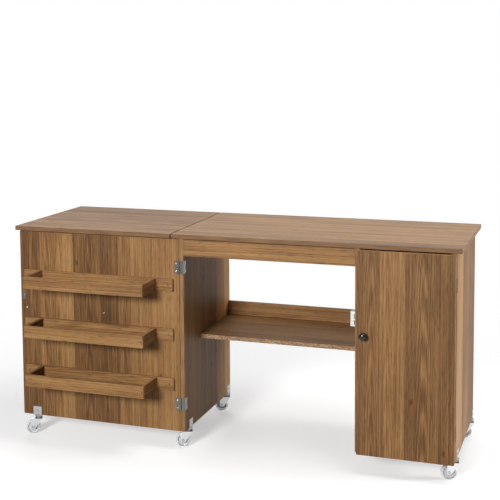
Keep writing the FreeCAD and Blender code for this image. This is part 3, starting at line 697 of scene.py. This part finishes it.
# %% Finishes of the fittings
PLATED = steel("plated_steel", (0.18, 0.175, 0.16), rough=0.08, spread=0.12, fleck=0.75, squeeze=ALONG_Z)
BRIGHT = steel("bright_screw", (0.58, 0.57, 0.55), rough=0.14, spread=0.12, fleck=0.85)
BRONZED = steel("bronzed_screw", (0.20, 0.125, 0.065), rough=0.34, spread=0.12, fleck=0.80)
CHROME = steel("bright_chrome", (0.72, 0.73, 0.74), rough=0.03, spread=0.04, fleck=0.96)
ZINC = steel("zinc_clamp", (0.52, 0.52, 0.53), rough=0.20, spread=0.14, fleck=0.82)
KNOB = plastic("black_knob", (0.004, 0.004, 0.004), (0.009, 0.009, 0.009), rough=0.08)
WHITE = plastic("white_plastic", (0.74, 0.74, 0.72), (0.82, 0.82, 0.80), rough=0.40)
TREAD = plastic("clear_tread", (0.84, 0.85, 0.86), (0.92, 0.93, 0.94), rough=0.20,
                Transmission_Weight=0.7, IOR=1.42)
CORE = plastic("wheel_core", (0.56, 0.57, 0.58), (0.66, 0.67, 0.68), rough=0.32)
SEAL = plastic("dark_seal", (0.012, 0.012, 0.013), (0.022, 0.022, 0.023), rough=0.30)
CAP = plastic("cam_cover", (0.150, 0.078, 0.035), (0.200, 0.105, 0.050), rough=0.45)

BY_LAST_WORD = {"hinges": PLATED, "pins": PLATED, "bolts": PLATED, "strike": PLATED, "screw": BRIGHT,
                "screws": BRIGHT, "clamp": ZINC, "clamps": ZINC, "axle": ZINC, "fork": CHROME,
                "knob": KNOB, "knobs": KNOB, "catch": WHITE}
fittings = [name for name in solids if name.split("_")[-1] in BY_LAST_WORD]
for name in fittings:
    solids[name].data.materials[0] = BY_LAST_WORD[name.split("_")[-1]]
print("metal and plastic set on", len(fittings), "fittings")

# %% [markdown]
# ## Turned pieces
# Wheels, dust rings and cam covers are round. Stacked cylinders would leave seams, so each is one closed
# outline in the XZ plane, spun once round Z and then stood on its axis. The spin merges its last step with
# its first, and the normals are made to agree. Where a shape occurs many times, its copies make up one mesh.

# %% Turning helpers
TURN_STEPS = 48
TURNED_SMOOTH = 40


def turned(outline):
    """Spin a closed outline of (radius, height) points in millimetres once round Z."""
    bm = bmesh.new()
    ring = [bm.verts.new((radius * MM, 0, height * MM)) for radius, height in outline]
    sides = [bm.edges.new((ring[index - 1], ring[index])) for index in range(len(ring))]
    bmesh.ops.spin(bm, geom=ring + sides, axis=(0, 0, 1), cent=(0, 0, 0), steps=TURN_STEPS, angle=math.tau,
                   use_merge=True)
    bmesh.ops.remove_doubles(bm, verts=bm.verts, dist=MERGE_WITHIN)
    bmesh.ops.recalc_face_normals(bm, faces=bm.faces)
    return bm


def place_at(spot, way):
    """The matrix that takes +Z to a direction and the origin to a spot."""
    return Matrix.Translation(spot) @ way.to_track_quat("Z", "Y").to_matrix().to_4x4()


def copies(template, spots):
    """One bmesh with a copy of a template at each (spot, direction)."""
    mesh = bpy.data.meshes.new("template")
    template.to_mesh(mesh)
    template.free()
    bm = bmesh.new()
    for spot, way in spots:
        already = len(bm.verts)
        bm.from_mesh(mesh)
        bm.verts.ensure_lookup_table()
        bmesh.ops.transform(bm, matrix=place_at(spot, way), verts=bm.verts[already:])
    bpy.data.meshes.remove(mesh)
    return bm


print("turned pieces have", TURN_STEPS, "steps")

# %% [markdown]
# ## Wheels
# Each caster wheel is a clear tread on a grey core with a hub. The solid is one shape, and two materials on
# its faces would leave the clear tread without an inner wall. So two pieces stand for it, each inside its
# outline: the tread outside the rim, and the core with hub and thin web.

# %% Wheels
TREAD_OUTLINE = ((18.6, -8.2), (20.0, -8.9), (22.4, -8.9), (24.0, -8.2), (24.8, -6.6), (25.0, -4.5),
                 (25.0, 4.5), (24.8, 6.6), (24.0, 8.2), (22.4, 8.9), (20.0, 8.9), (18.6, 8.2))
CORE_OUTLINE = ((3.1, -9.8), (6.6, -9.8), (7.6, -9.2), (8.0, -8.0), (8.6, -4.2), (10.0, -3.5), (16.8, -3.5),
                (18.5, -5.0), (18.5, 5.0), (16.8, 3.5), (10.0, 3.5), (8.6, 4.2), (8.0, 8.0), (7.6, 9.2),
                (6.6, 9.8), (3.1, 9.8))
WHEEL_PARTS = (("_tread", TREAD_OUTLINE, TREAD), ("_core", CORE_OUTLINE, CORE))
CASTERS = ("upright_front", "upright_rear", "cabinet_front", "cabinet_rear", "door")
for name in CASTERS:
    axle = [(joint_at[name + "_wheel_spin"], joint_axis[name + "_wheel_spin"])]
    for part, outline, material in WHEEL_PARTS:
        bm = copies(turned(outline), axle)
        made = piece(name + part, bm, [material], name + "_wheel", TURNED_SMOOTH)
        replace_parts(made, name + "_caster_wheel")
print(len(CASTERS), "wheels of two pieces each")

# %% [markdown]
# ## Swivel rings
# Between a clamp and its fork, two dark plastic rings keep dust out of the swivel. They hug the collar, one
# under its flange and one over the fork. Two walls in one place would show specks, so each is a turned ring
# whose inner wall lies inside the collar.

# %% Swivel rings
SEAL_OUTLINE = ((9.5, 0.0), (12.6, 0.0), (13.2, 0.5), (13.2, 2.0), (12.6, 2.5), (9.5, 2.5))
SEAL_FROM = (56.4 * MM, 62.5 * MM)
ON_CARCASS, ON_DOOR = CASTERS[:-1], CASTERS[-1:]


def seal_spots(names):
    """Where the rings go: two on each named caster's swivel."""
    return [(Vector((*joint_at[name + "_caster_swivel"].xy, z)), UP) for name in names for z in SEAL_FROM]


for name, body, names in (("swivel_rings", "carcass", ON_CARCASS),
                          ("door_swivel_rings", "wide_door", ON_DOOR)):
    spots = seal_spots(names)
    piece(name, copies(turned(SEAL_OUTLINE), spots), [SEAL], body, TURNED_SMOOTH)
    print(name, len(spots))

# %% [markdown]
# ## Screws
# A screw head could be a flat disc, but a dome with a cross catches the light as a real one does. A ring is
# drawn up and in to a low dome. The cross is twelve points: bridging them to the dome's last ring closes the
# crown, and its floor is pushed down and narrowed.

# %% Screw cross
CROSS_ARMS = 4
CROSS_ARM = 0.52
CROSS_HALF = 0.13
CROSS_DEEP = 0.6
CROSS_NARROW = 0.7


def sink_cross(bm, radius, height, crown):
    """Close a head's crown with a cross whose floor lies lower."""
    arm = CROSS_ARM * radius
    half = CROSS_HALF * radius
    points = []
    for index in range(CROSS_ARMS):
        spin = Matrix.Rotation(index * math.tau / CROSS_ARMS, 2)
        for point in ((arm, -half), (arm, half), (half, half)):
            points.append(bm.verts.new((*(spin @ Vector(point)), height)))
    cross = [bm.edges.new((points[index - 1], points[index])) for index in range(len(points))]
    bmesh.ops.bridge_loops(bm, edges=crown + cross)
    floor = bmesh.ops.contextual_create(bm, geom=cross)["faces"]
    sunk = bmesh.ops.extrude_discrete_faces(bm, faces=floor)["faces"]
    verts = sunk[0].verts[:]
    bmesh.ops.translate(bm, vec=(0, 0, -CROSS_DEEP * height), verts=verts)
    bmesh.ops.scale(bm, vec=(CROSS_NARROW, CROSS_NARROW, 1), verts=verts)


print("cross with", CROSS_ARMS, "arms")

# %% Screw heads
RING = 24
CROWN = 0.66
DOME = ((0.35, 1.0), (0.45, 0.88), (0.20, CROWN))
HEAD_SMOOTH = 30


def screw_head(radius, height):
    """A domed head in metres, standing on the origin and pointing along +Z."""
    bm = bmesh.new()
    bmesh.ops.create_circle(bm, cap_ends=False, segments=RING, radius=radius)
    rim = bm.edges[:]
    last = rim
    for rise, spread in DOME:
        grown = bmesh.ops.extrude_edge_only(bm, edges=last)["geom"]
        verts = [item for item in grown if isinstance(item, bmesh.types.BMVert)]
        last = [item for item in grown if isinstance(item, bmesh.types.BMEdge)]
        bmesh.ops.translate(bm, vec=(0, 0, rise * height), verts=verts)
        wider = spread * radius / verts[0].co.to_2d().length
        bmesh.ops.scale(bm, vec=(wider, wider, 1), verts=verts)
    sink_cross(bm, radius, height, last)
    bmesh.ops.contextual_create(bm, geom=rim)
    bmesh.ops.recalc_face_normals(bm, faces=bm.faces)
    return bm


def screws(name, body, size, spots, metal=BRIGHT):
    """A piece of screw heads of one (radius, height) in millimetres, one at each (spot, direction)."""
    head = screw_head(size[0] * MM, size[1] * MM)
    made = piece(name, copies(head, spots), [metal], body, HEAD_SMOOTH)
    print(name, len(spots))
    return made


print("screw heads have", RING, "sides")

# %% [markdown]
# ## Hinge screws
# Every hinge leaf has two holes near its free edge. Heads that are placed by eye could miss them, so their
# places follow from the leaves' own boxes: the hinge's length, the holes' distance from its ends and from
# the edge, and the thickness of the steel.

# %% Hinge screws
HINGE_SCREW = (3.2, 1.1)
HINGE_LONG = 44.0 * MM
HOLE_ENDS = (9.0 * MM, 35.0 * MM)
HOLE_INSET = 5.5 * MM
LEAF_STEEL = 1.0 * MM
DOOR_HINGES, TOP_HINGES = 2, 3


def hinge_rows(solid, axis, count):
    """Starts of the hinges of one node, spread evenly along an axis."""
    low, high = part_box(solid)
    span = high[axis] - low[axis] - HINGE_LONG
    return [low[axis] + span * index / (count - 1) for index in range(count)]


def door_spots(solid, x, y, way):
    """Holes of a door's hinges, one above the other."""
    rows = hinge_rows(solid, Z, DOOR_HINGES)
    return [(Vector((x, y, start + end)), way) for start in rows for end in HOLE_ENDS]


def top_spots(solid, x):
    """Holes of the hinges under the tops, one behind the other."""
    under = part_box("main_top")[LOW].z - LEAF_STEEL
    rows = hinge_rows(solid, Y, TOP_HINGES)
    return [(Vector((x, start + end, under)), DOWN) for start in rows for end in HOLE_ENDS]


wide_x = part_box("wide_door_hinges")[LOW].x + HOLE_INSET
wide_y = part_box("wide_door_panel")[LOW].y - LEAF_STEEL
narrow_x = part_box("narrow_door_hinges")[LOW].x + HOLE_INSET
narrow_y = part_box("narrow_door_panel")[HIGH].y + LEAF_STEEL
upright_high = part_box("wide_door_frame_hinges")[HIGH]
side_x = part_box("cabinet_outer_side")[LOW].x - LEAF_STEEL
side_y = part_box("narrow_door_frame_hinges")[HIGH].y - HOLE_INSET
screws("wide_door_hinge_screws", "wide_door", HINGE_SCREW,
       door_spots("wide_door_hinges", wide_x, wide_y, FRONT))
screws("narrow_door_hinge_screws", "narrow_door", HINGE_SCREW,
       door_spots("narrow_door_hinges", narrow_x, narrow_y, BACK))
frame_spots = door_spots("wide_door_frame_hinges", upright_high.x, upright_high.y - HOLE_INSET, RIGHT)
frame_spots += door_spots("narrow_door_frame_hinges", side_x, side_y, LEFT)
frame_spots += top_spots("main_top_hinges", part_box("main_top_hinges")[HIGH].x - HOLE_INSET)
screws("carcass_hinge_screws", "carcass", HINGE_SCREW, frame_spots)
screws("side_leaf_hinge_screws", "side_leaf", HINGE_SCREW,
       top_spots("side_leaf_hinges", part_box("side_leaf_hinges")[LOW].x + HOLE_INSET))

# %% [markdown]
# ## Rack, strike, catch and clamp screws
# The racks' back rails are screwed to the door near their ends, and each front rail into its two end
# boards. A strike has one screw, which is small so that it clears the magnets of its catch. A catch has two
# screws beside its magnet, and a clamp has one through each side. All the heads could be one piece, but some
# have to move with a door, so each piece keeps to one body.

# %% Rack and strike screws
RAIL_INSET = 16.0 * MM
RACK_SCREW = (3.2, RAIL_SCREW / MM)
STRIKE_SCREW = (2.6, 0.8)
RAIL_SCREWS = (("_rack_back_rail", RAIL_INSET, 0.0), ("_rack_front_rail", ENDS_THICK / 2, RAIL_SCREW))
STRIKES = (("wide_door", LOW, FRONT), ("narrow_door", HIGH, BACK))
rack_spots = []
for place in RACKS:
    for solid, inset, depth in RAIL_SCREWS:
        low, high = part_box(place + solid)
        for x in (low.x + inset, high.x - inset):
            rack_spots.append((Vector((x, low.y + depth, (low.z + high.z) / 2)), FRONT))
screws("rack_screws", "wide_door", RACK_SCREW, rack_spots, BRONZED)
for body, side, way in STRIKES:
    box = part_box(body + "_strike")
    middle = (box[LOW] + box[HIGH]) / 2
    screws(body + "_strike_screw", body, STRIKE_SCREW, [(Vector((middle.x, box[side].y, middle.z)), way)])

# %% Catch and clamp screws
CATCH_SCREW = (2.6, 1.0)
CATCH_HOLES = 19.0 * MM
CATCH_BACK = 5.0 * MM
CLAMP_SCREW = (4.2, 2.0)
CLAMP_HALF = 9.0 * MM
CLAMP_HOLE_Z = 85.1 * MM
catch_spots = []
for solid, side, way in (("wide_door_catch", LOW, LEFT), ("narrow_door_catch", HIGH, RIGHT)):
    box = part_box(solid)
    middle = (box[LOW] + box[HIGH]) / 2
    for step in (-CATCH_HOLES, CATCH_HOLES):
        catch_spots.append((Vector((box[side].x, middle.y + CATCH_BACK, middle.z + step)), way))
screws("catch_screws", "carcass", CATCH_SCREW, catch_spots)


def clamp_spots(name, ways):
    """Holes through both sides of one caster's clamp."""
    at = joint_at[name + "_caster_swivel"]
    return [(Vector((at.x, at.y, CLAMP_HOLE_Z)) + way * CLAMP_HALF, way) for way in ways]


carcass_spots = [spot for name in ON_CARCASS for spot in clamp_spots(name, (LEFT, RIGHT))]
screws("clamp_screws", "carcass", CLAMP_SCREW, carcass_spots)
screws("door_clamp_screws", "wide_door", CLAMP_SCREW, clamp_spots("door", (FRONT, BACK)))

# %% [markdown]
# ## Cam covers
# Each cam lock sits in a round pocket, flush with the board, and a thin brown cover hides it. A flat disc
# would look painted on, so the cover is turned from an outline with a rounded rim. The covers' places repeat
# the fittings' plan: two under each end of the shelf and of the cabinet's bottom, one behind each end of the
# apron and of the rail, and two inside each upright panel, just under the top.

# %% Cam covers
CAP_OUTLINE = ((0.0, 0.0), (8.6, 0.0), (8.6, 0.35), (8.2, 0.75), (7.2, 0.95), (0.0, 0.95))
CAM_SETBACK = 24.0 * MM
CAM_INSET = 50.0 * MM
CAM_TOP_INSET = 100.0 * MM


def ends_along_x(solid):
    """The covers' places along a board, and the board's box."""
    low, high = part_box(solid)
    return (low.x + CAM_SETBACK, high.x - CAM_SETBACK), low, high


cam_spots = []
for solid in ("kneehole_shelf", "cabinet_bottom"):
    ends, low, high = ends_along_x(solid)
    rows = (low.y + CAM_INSET, high.y - CAM_INSET)
    cam_spots += [(Vector((x, y, low.z)), DOWN) for x in ends for y in rows]
for solid in ("front_apron", "kneehole_back_rail"):
    ends, low, high = ends_along_x(solid)
    cam_spots += [(Vector((x, high.y, (low.z + high.z) / 2)), BACK) for x in ends]
for solid, side, way in (("left_upright", HIGH, RIGHT), ("cabinet_inner_side", HIGH, RIGHT),
                         ("cabinet_outer_side", LOW, LEFT)):
    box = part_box(solid)
    for y in (box[LOW].y + CAM_TOP_INSET, box[HIGH].y - CAM_TOP_INSET):
        cam_spots.append((Vector((box[side].x, y, box[HIGH].z - CAM_SETBACK)), way))
covers = piece("cam_covers", copies(turned(CAP_OUTLINE), cam_spots), [CAP], "carcass",
               HEAD_SMOOTH)
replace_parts(covers, "cam_locks")
print(len(cam_spots), "cam covers")

# %% [markdown]
# ## Floor
# The desk stands on a plain pale floor that runs out of the picture. Brighter lamps could make it white, but
# they would bleach the oak. So rays from the camera, and those that metal and clear plastic send on, see it
# as white with the desk's soft shadow, and further out as plain white. Every other ray meets a darker floor,
# which throws less light back up under the desk.

# %% Floor
FLOOR_HALF = 9.0
FLOOR_GLOW = 0.38
FLOOR_SHADE = 0.74
FLOOR_BOUNCE = 0.22
FADE_FROM, FADE_TO = 0.9, 2.2


def grey(level):
    """A colour without a tint."""
    return (level, level, level, 1)


def seen_by_eye(tree):
    """1 for rays that the camera, a mirror or clear plastic sends out, and 0 for the rest."""
    path = node(tree, "LightPath")
    mirror = maths(tree, "MAXIMUM", path.outputs["Is Glossy Ray"], path.outputs["Is Transmission Ray"])
    return maths(tree, "MAXIMUM", path.outputs["Is Camera Ray"], mirror)


def pale_floor():
    """White floor that takes a soft shadow, and a darker one for the light that it throws back."""
    ground = bpy.data.materials.new("pale_floor")
    ground.use_nodes = True
    tree = ground.node_tree
    tree.nodes.remove(tree.nodes["Principled BSDF"])
    plain = node(tree, "BsdfDiffuse", {"Color": grey(FLOOR_BOUNCE)})
    shade = node(tree, "BsdfDiffuse", {"Color": grey(FLOOR_SHADE)})
    glow = node(tree, "Emission", {"Color": grey(1), "Strength": FLOOR_GLOW})
    near = node(tree, "AddShader", {0: shade.outputs[0], 1: glow.outputs[0]})
    far = node(tree, "Emission", {"Color": grey(1), "Strength": 1.0})
    place = node(tree, "TexCoord").outputs["Object"]
    reach = node(tree, "VectorMath", {0: place}, operation="LENGTH").outputs["Value"]
    fade = node(tree, "MapRange", {"Value": reach, "From Min": FADE_FROM, "From Max": FADE_TO},
                interpolation_type="SMOOTHSTEP").outputs["Result"]
    white = node(tree, "MixShader", {0: fade, 1: near.outputs[0], 2: far.outputs[0]})
    choice = node(tree, "MixShader", {0: seen_by_eye(tree), 1: plain.outputs[0], 2: white.outputs[0]})
    tree.links.new(choice.outputs[0], tree.nodes["Material Output"].inputs["Surface"])
    return ground


bm = bmesh.new()
bmesh.ops.create_grid(bm, x_segments=1, y_segments=1, size=FLOOR_HALF)
floor_mesh = bpy.data.meshes.new("floor")
bm.to_mesh(floor_mesh)
bm.free()
floor_mesh.materials.append(pale_floor())
floor = bpy.data.objects.new("floor", floor_mesh)
bpy.context.scene.collection.objects.link(floor)
print("floor %.0f m across" % (2 * FLOOR_HALF))

# %% [markdown]
# ## Surroundings
# The camera sees white all round. If that white were the light too, the desk would be lit alike from all
# sides and look flat. So as light, the surroundings are dim, and a little brighter above than at the
# horizon. What shines mirrors a room that is dark in front of the desk and bright behind it, which gives
# the hinges and the tops their contrast.

# %% Surroundings
HORIZON_LIGHT, ZENITH_LIGHT = 0.05, 0.25
MIRROR_FRONT, MIRROR_BACK = 0.15, 1.00


def surroundings():
    """A world that differs for the camera, for mirrors and for plain light."""
    world = bpy.data.worlds.new("studio")
    world.use_nodes = True
    tree = world.node_tree
    tree.nodes.remove(tree.nodes["Background"])
    way = node(tree, "SeparateXYZ", {0: node(tree, "TexCoord").outputs["Generated"]})
    above = maths(tree, "MULTIPLY_ADD", way.outputs["Z"], ZENITH_LIGHT - HORIZON_LIGHT, HORIZON_LIGHT)
    behind = maths(tree, "MULTIPLY_ADD", way.outputs["Y"], (MIRROR_BACK - MIRROR_FRONT) / 2,
                   (MIRROR_BACK + MIRROR_FRONT) / 2)
    soft = node(tree, "Background", {"Color": grey(1), "Strength": above})
    mirrored = node(tree, "Background", {"Color": grey(1), "Strength": behind})
    white = node(tree, "Background", {"Color": grey(1), "Strength": 1.0})
    path = node(tree, "LightPath")
    clear = maths(tree, "MAXIMUM", path.outputs["Is Camera Ray"], path.outputs["Is Transmission Ray"])
    lit = node(tree, "MixShader", {0: path.outputs["Is Glossy Ray"], 1: soft.outputs[0],
                                   2: mirrored.outputs[0]})
    choice = node(tree, "MixShader", {0: clear, 1: lit.outputs[0], 2: white.outputs[0]})
    tree.links.new(choice.outputs[0], tree.nodes["World Output"].inputs["Surface"])
    return world


bpy.context.scene.world = surroundings()
print("surroundings from %.2f to %.2f" % (HORIZON_LIGHT, ZENITH_LIGHT))

# %% [markdown]
# ## Studio light
# The photograph's light is soft. The main lamp stands well in front of the desk, a little to its left, and
# one on the right keeps the outer side bright. One overhead lights the tops, and one behind on the left
# lifts the shadow at the back. Points of light would draw hard shadows, so all are area lamps, turned at the
# desk's middle. The two at the side and at the back aren't mirrored, because their reflections would whiten
# the tops.

# %% Studio light
AIM = Vector((0.0, 0.0, 0.4))


def lamp(name, at, size, power, mirrored):
    """A square area lamp with its side in metres and its power in watts."""
    data = bpy.data.lights.new(name, "AREA")
    data.shape = "SQUARE"
    data.size = size
    data.energy = power
    made = bpy.data.objects.new(name, data)
    bpy.context.scene.collection.objects.link(made)
    made.visible_glossy = mirrored
    made.location = at
    made.rotation_euler = (AIM - at).to_track_quat("-Z", "Y").to_euler()
    print("%s lamp, %.0f W" % (name, power))


lamp("key", at=Vector((-0.58, -4.69, 2.03)), size=0.9, power=208.0, mirrored=True)
lamp("fill", at=Vector((3.9, 0.75, 1.0)), size=1.0, power=110.0, mirrored=False)
lamp("overhead", at=Vector((1.2, -0.35, 3.2)), size=1.6, power=44.0, mirrored=True)
lamp("back", at=Vector((-2.4, 3.8, 2.4)), size=2.0, power=50.0, mirrored=False)
